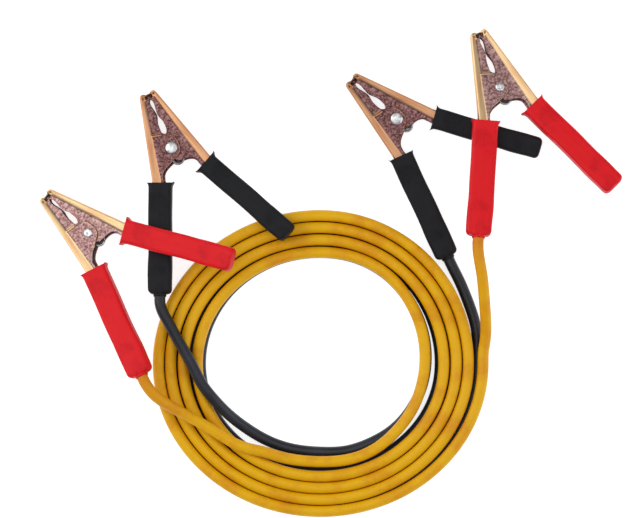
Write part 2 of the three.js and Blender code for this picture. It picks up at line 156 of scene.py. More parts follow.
def spline(at, points, where):
    """Cubics between neighbouring points, over the run at, read at where. The slopes come from one
    linear system that makes the bends on both sides of each point equal and the two end bends nil."""
    step = np.diff(at)[:, None]
    rise = np.diff(points, axis=0) / step
    count = len(points)
    i = np.arange(1, count - 1)
    system = np.zeros((count, count))
    system[i, i - 1] = 1 / step[:-1, 0]
    system[i, i] = 2 / step[:-1, 0] + 2 / step[1:, 0]
    system[i, i + 1] = 1 / step[1:, 0]
    system[0, :2] = 2, 1
    system[-1, -2:] = 1, 2
    inner = 3 * (rise[:-1] / step[:-1] + rise[1:] / step[1:])
    known = np.concatenate([3 * rise[:1], inner, 3 * rise[-1:]])
    slope = np.linalg.solve(system, known)
    k = np.clip(np.searchsorted(at, where, side="right") - 1, 0, count - 2)
    h = step[k]
    t = ((where - at[k]) / h[:, 0])[:, None]
    ends = (2 * t**3 - 3 * t**2 + 1) * points[k] + (3 * t**2 - 2 * t**3) * points[k + 1]
    return ends + h * ((t**3 - 2 * t**2 + t) * slope[k] + (t**3 - t**2) * slope[k + 1])


def run_along(points):
    """The length run from the first point to each point of a line."""
    return np.concatenate([[0], np.cumsum(np.linalg.norm(np.diff(points, axis=0), axis=1))])


def smooth_line(points, step):
    """A spline through points over their chord lengths, sampled again at even steps."""
    points = np.asarray(points, float)
    at = run_along(points)
    line = spline(at, points, np.linspace(0, at[-1], 16 * len(points)))
    run = run_along(line)
    even = np.linspace(0, run[-1], int(run[-1] / step) + 1)
    return np.stack([np.interp(even, run, line[:, k]) for k in range(3)], axis=1)


def coil_points(half_axes, middle_x, level, per_quarter=8):
    """Points of the turns: each quarter belongs to the ellipse between two neighbouring half axes, which
    are listed clockwise from the right: right, below, left, above, and so on inwards."""
    axes = np.asarray(half_axes, float)
    quarter = np.repeat(np.arange(len(axes) - 1), per_quarter)
    part = np.tile(np.arange(per_quarter) / per_quarter, len(axes) - 1)
    angle = (quarter + part) * np.pi / 2
    even = quarter % 2 == 0
    across = np.where(even, axes[quarter], axes[quarter + 1])
    along = np.where(even, axes[quarter + 1], axes[quarter])
    height = np.full(angle.shape, level)
    return np.stack([middle_x + across * np.cos(angle), -along * np.sin(angle), height], axis=1)


def clamp_frame(pivot, heading, slope):
    """A clamp's own frame in the row frame: a turn about Z by its heading, then the least turn that takes
    Z to the normal of the plane it lies in; and its pivot."""
    normal = np.array([-slope[0], -slope[1], 1.0])
    normal /= np.linalg.norm(normal)
    v = np.cross([0, 0, 1], normal)
    cross = np.array([[0, -v[2], v[1]], [v[2], 0, -v[0]], [-v[1], v[0], 0]])
    lean = np.eye(3) + cross + cross @ cross / (1 + normal[2])
    a = np.radians(heading)
    turn = np.array([[np.cos(a), -np.sin(a), 0], [np.sin(a), np.cos(a), 0], [0, 0, 1]])
    return lean @ turn, np.asarray(pivot) + LAYOUT_SHIFT


clamps = {
    "left_black": clamp_frame([-111.3, 161.6, 11.7], 24.6, [0.1, -0.115]),
    "left_red": clamp_frame([-172.8, 97.7, 18.0], 50.3, [0.288, -0.095]),
    "right_black": clamp_frame([57.22, 183.8, 6.15], 49.2, [0, 0]),
    "right_red": clamp_frame([134.2, 206.7, 13.0], 20.3, [-0.06, -0.2]),
}
GRIP_MOUTH = np.array([18.75, -20.55])
GRIP_LEAN = np.radians(24.5)
GRIP_WAY = np.array([np.sin(GRIP_LEAN), -np.cos(GRIP_LEAN)])
GRIP_OUT = np.array([np.cos(GRIP_LEAN), np.sin(GRIP_LEAN)])
GRIP_LENGTH = {"red": 87.5, "black": 83.5}


def grip_point(along, out=0.0):
    """A point of the free side's grip frame: mouth + along * way + out * outwards."""
    return GRIP_MOUTH + np.multiply.outer(along, GRIP_WAY) + np.multiply.outer(out, GRIP_OUT)


def whole_route(first, last, kind, right, half_axes, middle_x, level, left):
    """From inside one cable grip, down to the coil, round it, and up into the other grip."""
    flat = grip_point(GRIP_LENGTH[kind] + np.array([-6, 1, 6]))
    on_axis = np.stack([-flat[:, 0], flat[:, 1], np.zeros(3)], axis=1)
    start, end = (on_axis @ clamps[name][0].T + clamps[name][1] for name in (first, last))
    middle = np.concatenate([right, coil_points(half_axes, middle_x, level), left]) + LAYOUT_SHIFT
    return smooth_line(np.concatenate([start, middle, end[::-1]]), ROUTE_STEP)


yellow_path = whole_route(
    "right_red", "left_red", "red",
    [[120.4, 68.4, 36], [122.4, 50.4, 29.2], [123.8, 32.9, 21.2], [123.5, 17.9, 15.4], [122.1, 8, 13.4]],
    [121.9, 110.7, 121.6, 111.2, 110.9, 101.9, 112.5, 102.2, 101.9, 93.2, 102.9, 93, 92.5, 84.5, 92.4, 83.9],
    0, YELLOW_LEVEL,
    [
        [8, 83.3, 13], [19.8, 81.6, 13], [39.3, 74.2, 13], [55.8, 61.5, 13], [67.8, 45, 13],
        [75.6, 26.1, 13], [78.4, 5.9, 13], [76.1, -14.6, 13], [68.8, -34.1, 13], [56.4, -50.9, 13],
        [40.1, -64.3, 13], [20.5, -71.8, 13], [-0.4, -73.4, 13], [-21.6, -71.6, 13.6], [-32, -69.2, 15.4],
        [-42.3, -66, 17.8], [-54.3, -63.2, 21.2], [-66, -58.6, 22.3], [-76.5, -52.2, 22.6],
        [-89, -44.6, 24.4], [-101.5, -37.6, 28.4], [-113.2, -30.8, 34.4], [-123.6, -23.4, 39],
    ],
)
black_path = whole_route(
    "right_black", "left_black", "black",
    [[103.9, 63, 5], [109.8, 49, 4.3], [114.4, 36, 4.3], [117.2, 23.5, 4.3], [117.6, 10, 4.3]],
    [118.5, 107.6, 118.5, 109.6, 110, 98.8, 108.8, 101, 100.6, 90, 98.9, 92.1, 91, 81.1, 89.1, 83.4],
    -1.1, BLACK_LEVEL,
    [
        [8, 83.1, 4.3], [19.6, 81.3, 4.3], [38.8, 74, 4.3], [55.4, 61.6, 4.3], [68, 45.2, 4.3],
        [76.4, 26.3, 4.3], [79.4, 5.9, 4.3], [76.8, -14.8, 4.3], [68.2, -34, 4.3], [54.6, -49.4, 4.3],
        [37.4, -59.6, 4.3], [19, -65.6, 4.3], [-0.4, -66.4, 4.3], [-19.3, -64.4, 4.3], [-37.9, -58.6, 4.7],
        [-55, -48.8, 7.8], [-71.6, -35.4, 14.7], [-80.2, -26.2, 19.2], [-88.8, -15, 21.6],
        [-96, -1.1, 22.2], [-102.3, 10.2, 22.3], [-108.2, 20.5, 22.8], [-114.2, 31.5, 23.8],
    ],
)


def grid_faces(rows, columns, closed=False):
    """Four-cornered faces between rows and columns. closed joins the last column to the first."""
    i = np.arange(rows - 1)[:, None]
    j = np.arange(columns if closed else columns - 1)[None, :]
    k = (j + 1) % columns
    corners = (i * columns + j, i * columns + k, (i + 1) * columns + k, (i + 1) * columns + j)
    return np.stack(np.broadcast_arrays(*corners), -1).reshape(-1, 4).tolist()


def capped_faces(rows, sides):
    """Faces of a closed grid of rings with a fan at each end. The two points of the fans follow the grid."""
    turn = np.arange(sides)
    onward = (turn + 1) % sides
    foot = np.stack([np.full(sides, rows * sides), onward, turn], 1)
    head = np.stack([np.full(sides, rows * sides + 1), turn, onward], 1)
    head[:, 1:] += (rows - 1) * sides
    return grid_faces(rows, sides, True) + foot.tolist() + head.tolist()


def round_bar(path, radius, sides):
    """A round skin: centre + radius * (cos a * across + sin a * up), where across is level and square to
    the line. A disc closes each end. Returns points, faces and the place on the bar."""
    way = np.gradient(path, axis=0)
    across = np.cross(way, [0.0, 0.0, 1.0])
    across /= np.linalg.norm(across, axis=1)[:, None]
    up = np.cross(across, way)
    up /= np.linalg.norm(up, axis=1)[:, None]
    a = np.arange(sides) / sides * 2 * np.pi
    run = run_along(path)
    thickness = radius * (1 + 0.006 * np.sin(run / 23 + 0.6) + 0.005 * np.sin(run / 9.1 + 2))
    ring = np.cos(a)[None, :, None] * across[:, None] + np.sin(a)[None, :, None] * up[:, None]
    skin = path[:, None] + thickness[:, None, None] * ring
    points = np.concatenate([skin.reshape(-1, 3), path[[0, -1]]])
    laid = np.stack(np.broadcast_arrays(run[:, None], radius * np.cos(a), radius * np.sin(a)), -1)
    laid = np.concatenate([laid.reshape(-1, 3), [[0, 0, 0], [run[-1], 0, 0]]])
    return points, capped_faces(len(path), sides), laid


def add(tree, kind, settings=(), **inputs):
    """Adds a node to a tree. An input given a socket is linked to it, and one given a value is set to it."""
    made = tree.nodes.new("ShaderNode" + kind)
    for name, value in dict(settings).items():
        setattr(made, name, value)
    for name, value in inputs.items():
        target = made.inputs[name.replace("_", " ")]
        if isinstance(value, bpy.types.NodeSocket):
            tree.links.new(value, target)
        else:
            target.default_value = value
    return made


def new_group(name, inputs, outputs):
    """An empty shader node group with number or vector inputs and number outputs."""
    tree = bpy.data.node_groups.new(name, "ShaderNodeTree")
    for label, kind in inputs:
        tree.interface.new_socket(label, in_out="INPUT", socket_type=kind)
    for label in outputs:
        tree.interface.new_socket(label, in_out="OUTPUT", socket_type="NodeSocketFloat")
    return tree, tree.nodes.new("NodeGroupInput").outputs, tree.nodes.new("NodeGroupOutput").inputs


# Mask: cloud-like patches of a size, cut between two levels of the noise. Grain: a fine noise.
patches, given, told = new_group(
    "patches",
    [
        ("Vector", "NodeSocketVector"),
        ("Per Metre", "NodeSocketFloat"),
        ("From", "NodeSocketFloat"),
        ("To", "NodeSocketFloat"),
        ("Grain Per Metre", "NodeSocketFloat"),
    ],
    ["Mask", "Grain"],
)
clouds = add(patches, "TexNoise", Vector=given["Vector"], Scale=given["Per Metre"], Detail=4, Roughness=0.6)
cut = add(
    patches,
    "MapRange",
    {"interpolation_type": "SMOOTHSTEP"},
    Value=clouds.outputs["Fac"],
    From_Min=given["From"],
    From_Max=given["To"],
)
patches.links.new(cut.outputs["Result"], told["Mask"])
fine = add(patches, "TexNoise", Vector=given["Vector"], Scale=given["Grain Per Metre"], Detail=3)
fine.inputs["Roughness"].default_value = 0.5
patches.links.new(fine.outputs["Fac"], told["Grain"])


def patchy(tree, vector, per_metre, low, high, grain_per_metre):
    """Places the patches group with its own values and returns its mask and grain sockets."""
    placed = add(
        tree,
        "Group",
        {"node_tree": patches},
        Vector=vector,
        Per_Metre=per_metre,
        From=low,
        To=high,
        Grain_Per_Metre=grain_per_metre,
    )
    return placed.outputs["Mask"], placed.outputs["Grain"]


def blend(tree, share, first, second):
    """A colour between two, by a share from 0 to 1."""
    return add(tree, "Mix", {"data_type": "RGBA"}, Factor=share, A=first, B=second).outputs["Result"]


def marked(tree, name):
    """The value of a piece's own attribute."""
    return add(tree, "Attribute", {"attribute_name": name}).outputs["Fac"]


def laid_place(tree):
    """The place of a point on its own surface."""
    return add(tree, "Attribute", {"attribute_name": "laid"}).outputs["Vector"]


def stretched(tree, vector, scale):
    """A place scaled along its own axes, which draws patterns out along the axis with the small scale."""
    return add(tree, "Mapping", Vector=vector, Scale=scale).outputs["Vector"]


def between(tree, share, low, high):
    """A value from low to high, by a share from 0 to 1."""
    return add(tree, "MapRange", Value=share, To_Min=low, To_Max=high).outputs["Result"]


def combine(tree, operation, *values):
    """The result of a Math node whose inputs are the sockets or numbers given, in order."""
    node = add(tree, "Math", {"operation": operation})
    for target, value in zip(node.inputs, values):
        if isinstance(value, bpy.types.NodeSocket):
            tree.links.new(value, target)
        else:
            target.default_value = value
    return node.outputs["Value"]


def join_surface(tree, shader, tone, rough, height, strength, distance):
    """Gives the shader its colour, its roughness and a bump of a strength and depth."""
    tree.links.new(tone, shader.inputs["Base Color"])
    tree.links.new(rough, shader.inputs["Roughness"])
    bump = add(tree, "Bump", Height=height, Strength=strength, Distance=distance)
    tree.links.new(bump.outputs["Normal"], shader.inputs["Normal"])


def jacket(name, colour, deep, clamp_shade, roughness, specular):
    """Soft PVC: slow darker patches, faint rubbed streaks that run with the cable, and painted shade towards
    the clamps, which on the yellow is also redder as a painted reflection of the red grips."""
    material, shader = new_material(name, Roughness=roughness, Specular_IOR_Level=specular)
    tree = material.node_tree
    place = add(tree, "TexCoord").outputs["Object"]
    cloud, grain = patchy(tree, place, 38, 0.42, 0.68, 1100)
    drawn = stretched(tree, laid_place(tree), (0.06, 1, 1))
    rubbed, streak = patchy(tree, drawn, 420, 0.55, 0.75, 900)
    tone = blend(tree, cloud, colour, deep)
    # Painted shade towards the clamps; on the yellow it is also a painted reflection of the red grips.
    tone = blend(tree, marked(tree, "near_clamp"), tone, clamp_shade)
    rough = between(tree, rubbed, roughness, roughness + 0.16)
    height = combine(tree, "MULTIPLY_ADD", streak, 0.6, grain)
    join_surface(tree, shader, tone, rough, height, 0.3, 0.0002)
    return material


def mark_points(piece, name, values):
    """Gives a piece a number at each point, which its material reads by name."""
    piece.data.attributes.new(name, "FLOAT", "POINT")
    piece.data.attributes[name].data.foreach_set("value", values.ravel())


def cable(name, path, material, start, *stands_for):
    """One conductor of the twin cable; its length is printed. start, where it comes out of its grip, is not
    used.
    """
    points, faces, laid = round_bar(path, CORD_DIAMETER / 2, CORD_SIDES)
    piece = new_piece(name, points, faces, material, laid)
    run = run_along(path)
    # The share of painted shade: 1 where the cable leaves each grip, fading along the cable.
    near = np.exp(-np.minimum(run, run[-1] - run) / NEAR_CLAMP_REACH)
    mark_points(piece, "near_clamp", np.concatenate([np.repeat(near, CORD_SIDES), [1, 1]]))
    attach(piece, "cable_set")
    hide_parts(*stands_for)
    print(name, "length in mm", round(float(run[-1])))


# The third colour of each jacket is its painted shade next to the clamps; on the yellow it is also redder, a
# painted reflection of the red grips.
yellow_jacket = jacket(
    "yellow_jacket", (0.7, 0.37, 0.001, 1), (0.62, 0.26, 0.001, 1), (0.5, 0.12, 0.001, 1), 0.42, 0.2
)
black_jacket = jacket(
    "black_jacket",
    (0.011, 0.013, 0.018, 1),
    (0.018, 0.021, 0.028, 1),
    (0.006, 0.006, 0.007, 1),
    0.34,
    0.32,
)
cable("yellow_cable", yellow_path, yellow_jacket, 2, "yellow_coil", "yellow_lead_right", "yellow_lead_left")
cable("black_cable", black_path, black_jacket, 2, "black_coil", "black_lead_right", "black_lead_left")

# Jaws
# Each clamp has two jaws of 1 mm sheet steel, copper plated. The sheet is folded to a rounded back with two
# flanges that step down to a mouth of curves and teeth; the cable jaw's lugs lie over the free jaw's.

SPINE_LEAN = np.radians(15.5)
SPINE_START = np.array([6.82, 44.08])
SPINE_WAY = np.array([np.sin(SPINE_LEAN), -np.cos(SPINE_LEAN)])
SPINE_INWARD = np.array([-np.cos(SPINE_LEAN), -np.sin(SPINE_LEAN)])
TIP_CENTRE = np.array([4.03, 43.3])
TIP_RADIUS = 2.9
DIMPLE = np.array([4.48, 43.0])
BAND_LEVEL = 4.8
FLANGE_LEVEL = 3.2
LUG_LEVEL = 4.5
FOLD_WIDTH = 1.2
FOLD_DROP = 2.4
BAND_CROWN = 0.9
BAND_WIDTH = 3.6
BAND_WIDENING = 0.05
BACK_LENGTH = 62
FOLD_ALONG = 29.4
FOLD_BAR_REACH = 7.2
TOOTH = np.array([1.45, 42.6])
TOOTH_HALF = 1.2
TOOTH_DEPTH = 1.3
DIMPLE_WIDTH = 0.85
DIMPLE_DEPTH = 0.5
SHEET = 0.95
JAW_ROWS = 163
TANG_ALONG = 30.0
TANG_HALF = 4.8


def step_up(value, width):
    """A smooth step from 0 to 1 over a width about zero: 3 u^2 - 2 u^3."""
    u = np.clip(value / width + 0.5, 0, 1)
    return u * u * (3 - 2 * u)


def edge_rows(points, rows):
    """A smooth edge through points, in which each point is met at its own row."""
    points = np.asarray(points, float)
    at = run_along(points)
    return spline(at, points, np.interp(np.arange(JAW_ROWS), rows, at))


def back_rows():
    """The outer edge of the back, from the teeth round the tip and down to the tang, and its normals."""
    a = np.radians(np.linspace(118, 15.5, 12))
    tip = TIP_CENTRE + TIP_RADIUS * np.stack([np.cos(a), np.sin(a)], axis=1)
    heights = np.array([41.2, 20.1, 15.6, 6.8, -5.2, -13, -18.5, -24.57])
    spine = SPINE_START + np.outer((SPINE_START[1] - heights) / np.cos(SPINE_LEAN), SPINE_WAY)
    end = grip_point(TANG_ALONG, TANG_HALF)
    points = np.concatenate([[[0.25, 44.8], [1.1, 44.95], [1.9, 45.35]], tip, spine, [end]])
    rows = np.concatenate([[0, 3, 6], np.linspace(8, 22, 12), [28, 71, 81, 99, 123, 135, 142, 150, 162]])
    dense = np.arange(JAW_ROWS)
    line = np.stack([np.interp(dense, rows, points[:, k]) for k in (0, 1)], axis=1)
    turned = np.radians(np.interp(dense, [0, 3, 6, 8, 22, 150, 156], [93, 104, 118, 118, 15.5, 15.5, 24.5]))
    return line, np.stack([np.cos(turned), np.sin(turned)], axis=1)


MOUTH = [
    [0.25, 44.2], [0.25, 43.2], [0.25, 40.9], [0.9, 39.5], [1.4, 35.5], [0.9, 31.5], [0.7, 28.5],
    [1.3, 25.5], [2.1, 22], [2.4, 17],
]
MOUTH_ROWS = [0, 8, 20, 24, 33, 42, 48, 54, 61, 71]
FREE_EDGE = [
    [1.6, 13.2], [0.2, 11.2], [-3.09, 6.62], [-5.98, 4.19], [-7.3, 0], [-5.98, -4.19], [-3.09, -6.62],
    [1, -10.7], [7.3, -11.6], [10.9, -12.6], [13.9, -14.9], [15, -18.4], [15.63, -25.27], [26.82, -49.84],
]
FREE_ROWS = [78, 82, 90, 94, 100, 106, 111, 119, 126, 131, 136, 141, 150, 162]
CABLE_EDGE = [
    [2.1, 13.9], [0.7, 12.1], [-1.2, 11.2], [-3.6, 9.2], [-5.1, 6.7], [-6.1, 3.6], [-6.2, 0.9], [-5.5, -3.4],
    [-4.3, -5.6], [-1.8, -7.1], [5.1, -10.3], [9.8, -12.2], [14, -15.2], [15.6, -18.9], [15.63, -25.27],
    [26.82, -49.84],
]
CABLE_ROWS = [77, 80, 83, 88, 92, 96, 100, 106, 110, 115, 125, 131, 137, 142, 150, 162]
LOWER_ROWS = [26, 36, 52, 62, 100, 112, 140, 152]
LOWER_REACH = [0, 0.5, 0.5, 0, 0, 1.3, 1.3, 0]
LUG_SHADOW_ROWS = slice(77, 120)
LUG_RIM_HIGHLIGHT_ROWS = slice(78, 140)


def hump(value, width, power=2):
    """exp(-(value / width)^power): 1 at zero, and next to nothing beyond two widths."""
    return np.exp(-((value / width) ** power))


def jaw_half(back, outward, edge, bend, lug_line, lugs):
    """The upper outside of the folded sheet, from its back to an edge, as a list of grids.

    Rows run down the back. In a row the sheet rises from the middle plane at the back's edge, goes
    through a quarter oval, bend wide and FOLD_DROP high, and then straight across to the mouth's edge.
    Its height there is the flange's, raised to the band's by a smooth step where a point is inside the
    band: nearer the spine's edge than the band's width, or within the tip's round. The band falls
    inwards as BAND_CROWN * (from the back / width)^2. The grids are x, y, height, the place from the back
    and along it, and the marks: bright (the band, with painted highlights on the fold bar and the lugs'
    rims), dark (painted shade past the fold bar, in the tooth pits and the dimple, the painted shadow of
    the lug's edge on the free jaw, and darker just outside the band's edge), and near the back.
    """
    turn = np.linspace(0, np.pi / 2, 8)
    rounded = back[:, None] - outward[:, None] * (bend[:, None] * (1 - np.cos(turn)))[..., None]
    share = np.linspace(0, 1, 34)[1:, None]
    flat = rounded[:, -1:] * (1 - share) + edge[:, None] * share
    plan = np.concatenate([np.repeat(back[:, None], 3, axis=1), rounded, flat], axis=1)
    along = (plan - SPINE_START) @ SPINE_WAY
    from_back = (plan - SPINE_START) @ SPINE_INWARD
    past_fold = along - FOLD_ALONG
    in_tip = TIP_RADIUS - np.linalg.norm(plan - TIP_CENTRE, axis=2)
    band_width = BAND_WIDTH + np.clip(along, 0, BACK_LENGTH) * BAND_WIDENING
    in_band = np.maximum(in_tip, np.where(along > -0.4, band_width - from_back, -9))

    raised = step_up(in_band, 1.5)
    level = FLANGE_LEVEL + (LUG_LEVEL - FLANGE_LEVEL) * (step_up(past_fold, 1.2) * lugs)
    level = level + (BAND_LEVEL - level) * raised - BAND_CROWN * raised * (from_back / band_width) ** 2
    level = level + 0.3 * hump(past_fold, 0.7) * (1 - raised) * lugs
    square = step_up(TOOTH_HALF - np.abs(plan - TOOTH), 0.4)
    tooth = square[..., 0] * square[..., 1]
    dimple = hump(np.linalg.norm(plan - DIMPLE, axis=2), DIMPLE_WIDTH, 4)
    level = level - TOOTH_DEPTH * tooth - DIMPLE_DEPTH * dimple
    top = level[:, 10:11]
    level[:, 3:11] = top - FOLD_DROP * (1 - np.sin(turn))
    level[:, :3] = (top - FOLD_DROP) * np.array([0, 0.4, 0.8])

    # Painted highlight along the raised bar at the lugs' fold.
    bar = hump(past_fold, 1.1, 4) * step_up(FOLD_BAR_REACH - from_back + band_width, 1.2) * lugs
    # Painted highlight on the outermost column of the lugs' rim.
    rim = np.zeros(along.shape)
    rim[LUG_RIM_HIGHLIGHT_ROWS, -1] = 0.8 * lugs
    # bright is the band's own tone together with these painted highlights.
    bright = np.maximum(np.maximum(step_up(in_band, 0.9), bar), rim)
    # Painted shadow of the cable jaw's lug edge on the free jaw, by the distance to that edge.
    to_lug = np.linalg.norm(plan[:, :, None] - lug_line, axis=3).min(axis=2)
    # Painted shade just past the fold bar, in the tooth pits and the dimple, and darker just outside the
    # band's edge.
    below_bar = hump(past_fold - 1.5, 0.45) * step_up(-in_band, 1) * lugs
    dark = 0.5 * hump(in_band + 0.5, 0.4) + 0.5 * below_bar + 0.85 * tooth + 0.7 * dimple
    dark = dark + 0.6 * hump(to_lug, 0.7) * (1 - lugs)
    near = hump(np.clip(-in_band, 0, 99), 3.4 - 1.2 * lugs)
    return [plan[..., 0], plan[..., 1], level, from_back, along, bright, np.clip(dark, 0, 1), near]


def jaw_sheet(own_edge, own_rows, lugs):
    """The outside of the folded sheet as one grid: points, places on the sheet, and the three marks. The
    lower half is the upper one mirrored, with an edge that stands out LOWER_REACH further."""
    back, outward = back_rows()
    edge = edge_rows(MOUTH + own_edge, MOUTH_ROWS + own_rows)
    reach = np.linalg.norm(edge - back, axis=1)
    below = np.interp(np.arange(JAW_ROWS), LOWER_ROWS, LOWER_REACH)[:, None]
    below = below * (edge - back) / reach[:, None]
    lug_line = edge_rows(MOUTH + CABLE_EDGE, MOUTH_ROWS + CABLE_ROWS)[LUG_SHADOW_ROWS] * [-1, 1]
    bend = np.minimum(FOLD_WIDTH, 0.2 * reach)
    lower, upper = (jaw_half(back, outward, line, bend, lug_line, lugs) for line in (edge + below, edge))
    lower[2] = -lower[2]
    joined = [np.concatenate([low[:, :0:-1], high], axis=1) for low, high in zip(lower, upper)]
    points = np.stack(joined[:3], axis=2)
    laid = np.stack([joined[3], joined[4], joined[2]], axis=2)
    return points, laid, *joined[5:]


def plate_copper(name, band, band_deep, flange, flange_deep, dark):
    """Copper plate: bright satin over the rounded back, and on the flanges duller and mottled where the
    die has pressed it, with short marks square to the back. The band colour is also laid on as painted
    highlights on the fold bar and the lugs' rims, and dark is painted shade in the creases, the tooth pits
    and under the lugs' edges."""
    material, shader = new_material(name, Metallic=1.0, Roughness=0.3)
    tree = material.node_tree
    laid = laid_place(tree)
    band_or_highlight = marked(tree, "band")
    rubbed = patchy(tree, stretched(tree, laid, (1, 0.12, 1)), 260, 0.4, 0.62, 1500)[0]
    mottle = patchy(tree, add(tree, "TexCoord").outputs["Object"], 640, 0.22, 0.66, 2600)[0]
    marks = patchy(tree, stretched(tree, laid, (0.16, 1, 1)), 620, 0.48, 0.6, 900)[0]
    marks = combine(tree, "MULTIPLY", marks, marked(tree, "near_back"))
    on_back = blend(tree, rubbed, band, band_deep)
    on_flange = blend(tree, mottle, flange, flange_deep)
    on_flange = blend(tree, marks, on_flange, flange)
    # The band colour, also used as painted highlights on the fold bar and the lugs' rims.
    tone = blend(tree, band_or_highlight, on_flange, on_back)
    # Painted shade: the dark colour laid over the creases, the pits and the lug edge's shadow.
    tone = blend(tree, marked(tree, "shade_mark"), tone, dark)
    rough = between(tree, band_or_highlight, 0.44, 0.34)
    height = combine(tree, "ADD", mottle, marks)
    height = combine(tree, "MULTIPLY", height, between(tree, band_or_highlight, 1.0, 0.06))
    join_surface(tree, shader, tone, rough, height, 0.16, 0.0002)
    return material


# The last colour of each copper is its painted shade.
pale_copper = plate_copper(
    "pale_copper",
    (0.7, 0.48, 0.25, 1),
    (0.62, 0.37, 0.18, 1),
    (0.56, 0.36, 0.33, 1),
    (0.15, 0.065, 0.06, 1),
    (0.05, 0.016, 0.012, 1),
)
deep_copper = plate_copper(
    "deep_copper",
    (0.56, 0.3, 0.155, 1),
    (0.46, 0.21, 0.1, 1),
    (0.36, 0.19, 0.18, 1),
    (0.065, 0.022, 0.02, 1),
    (0.035, 0.01, 0.008, 1),
)


def in_row_frame(points, clamp):
    """Points of a clamp's own frame in the row frame."""
    turn, pivot = clamps[clamp]
    return points @ turn.T + pivot


def jaw(clamp, which, side, body):
    """A jaw on the +X (side 1) or -X (side -1) half, as a sheet with a thickness and softened edges."""
    own = (CABLE_EDGE, CABLE_ROWS, True) if which == "cable_jaw" else (FREE_EDGE, FREE_ROWS, False)
    points, laid, band_and_highlight_share, shade_mark, near = jaw_sheet(*own)
    rows, columns = points.shape[:2]
    if side < 0:
        points = points[:, ::-1] * [-1, 1, 1]
        laid, band_and_highlight_share, shade_mark, near = (values[:, ::-1] for values in (laid, band_and_highlight_share, shade_mark, near))
    material = pale_copper if "red" in clamp else deep_copper
    placed = in_row_frame(points.reshape(-1, 3), clamp)
    faces = grid_faces(rows, columns)
    piece = new_piece(f"{clamp}_{which}_sheet", placed, faces, material, laid.reshape(-1, 3))
    # The band mark also carries painted highlights, and the next mark is painted shade.
    for name, values in (("band", band_and_highlight_share), ("shade_mark", shade_mark), ("near_back", near)):
        mark_points(piece, name, values)
    thick = piece.modifiers.new("sheet", "SOLIDIFY")
    thick.thickness = SHEET * MM
    thick.offset = -1
    soften(piece, 0.2, 50)
    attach(piece, body)
    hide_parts(f"{clamp}_{which}")


for clamp in clamps:
    jaw(clamp, "free_jaw", 1, f"{clamp}_free_handle")
    jaw(clamp, "cable_jaw", -1, "cable_set")

# Rivets
# One bright steel rivet holds each pair of jaws. Its factory head is a low dome, and its other end is
# peened over with a punch, which leaves a small pit off the centre. The black clamps lie head up.

RIVET_SEAT = 4.62
SHANK_RADIUS = 2.2
PIT = np.array([-0.8, 0.7])


def turned_piece(profile, sides):
    """A solid of revolution about Z: each profile point (radius, height) is carried round a circle."""
    profile = np.asarray(profile, float)
    a = np.arange(sides) / sides * 2 * np.pi
    radius = profile[:, :1]
    ring = np.stack(np.broadcast_arrays(radius * np.cos(a), radius * np.sin(a), profile[:, 1:]), -1)
    points = np.concatenate([ring.reshape(-1, 3), [[0, 0, profile[0, 1]], [0, 0, profile[-1, 1]]]])
    return points, capped_faces(len(profile), sides)


def bright_steel(name, colour, dull, roughness):
    """Bare steel with scuffs and a fine grain."""
    material, shader = new_material(name, Metallic=1.0, Roughness=roughness)
    tree = material.node_tree
    place = add(tree, "TexCoord").outputs["Object"]
    scuffs, grain = patchy(tree, place, 480, 0.42, 0.66, 2400)
    tone = blend(tree, scuffs, colour, dull)
    rough = between(tree, grain, roughness - 0.08, roughness + 0.12)
    join_surface(tree, shader, tone, rough, grain, 0.25, 0.0001)
    return material


rivet_steel = bright_steel("rivet_steel", (0.66, 0.66, 0.64, 1), (0.36, 0.36, 0.34, 1), 0.3)


def rivet(clamp, factory_head_up):
    """Shank and both heads in one turned piece. The pit is depth * exp(-(distance / width)^2) deep."""
    r = np.linspace(1, 0, 9)[1:]
    dome = np.stack([4.45 * r, RIVET_SEAT + 0.45 + 0.85 * (1 - r**2.2)], axis=1)
    peened = np.stack([3.25 * r, -RIVET_SEAT - 0.45 - 0.5 * (1 - r**5)], axis=1)[::-1]
    profile = np.concatenate([
        peened[1:],
        [[3.3, -RIVET_SEAT - 0.35], [3.25, -RIVET_SEAT]],
        [[SHANK_RADIUS, -RIVET_SEAT], [SHANK_RADIUS, RIVET_SEAT]],
        [[4.35, RIVET_SEAT], [4.45, RIVET_SEAT + 0.15], [4.42, RIVET_SEAT + 0.4]],
        dome[:-1],
    ])
    points, faces = turned_piece(profile, 40)
    pit = hump(np.linalg.norm(points[:, :2] - PIT, axis=1), 0.75)
    points[:, 2] += np.where(points[:, 2] < -RIVET_SEAT - 0.3, 0.6 * pit, 0)
    if not factory_head_up:
        points = points * [1, -1, -1]
    piece = new_piece(f"{clamp}_rivet_turned", in_row_frame(points, clamp), faces, rivet_steel)
    soften(piece, 0.12, 40)
    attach(piece, "cable_set")
    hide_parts(f"{clamp}_rivet")


for clamp in clamps:
    rivet(clamp, "black" in clamp)

# Springs
# A torsion spring of 1.5 mm wire sits below each rivet between the lugs: two turns and a bit, narrower at
# the lower end, with a leg behind the cable jaw's back. Its other leg is cut short, since the spring doesn't
# twist as the clamp opens.

SPRING_MIDDLE = (1.0, -9.0)
SPRING_RADIUS = 4.7
SPRING_TAPER = 1.7
SPRING_HALF_HEIGHT = 1.32
SPRING_START = 127
SPRING_TURN = 794
WIRE = 1.5


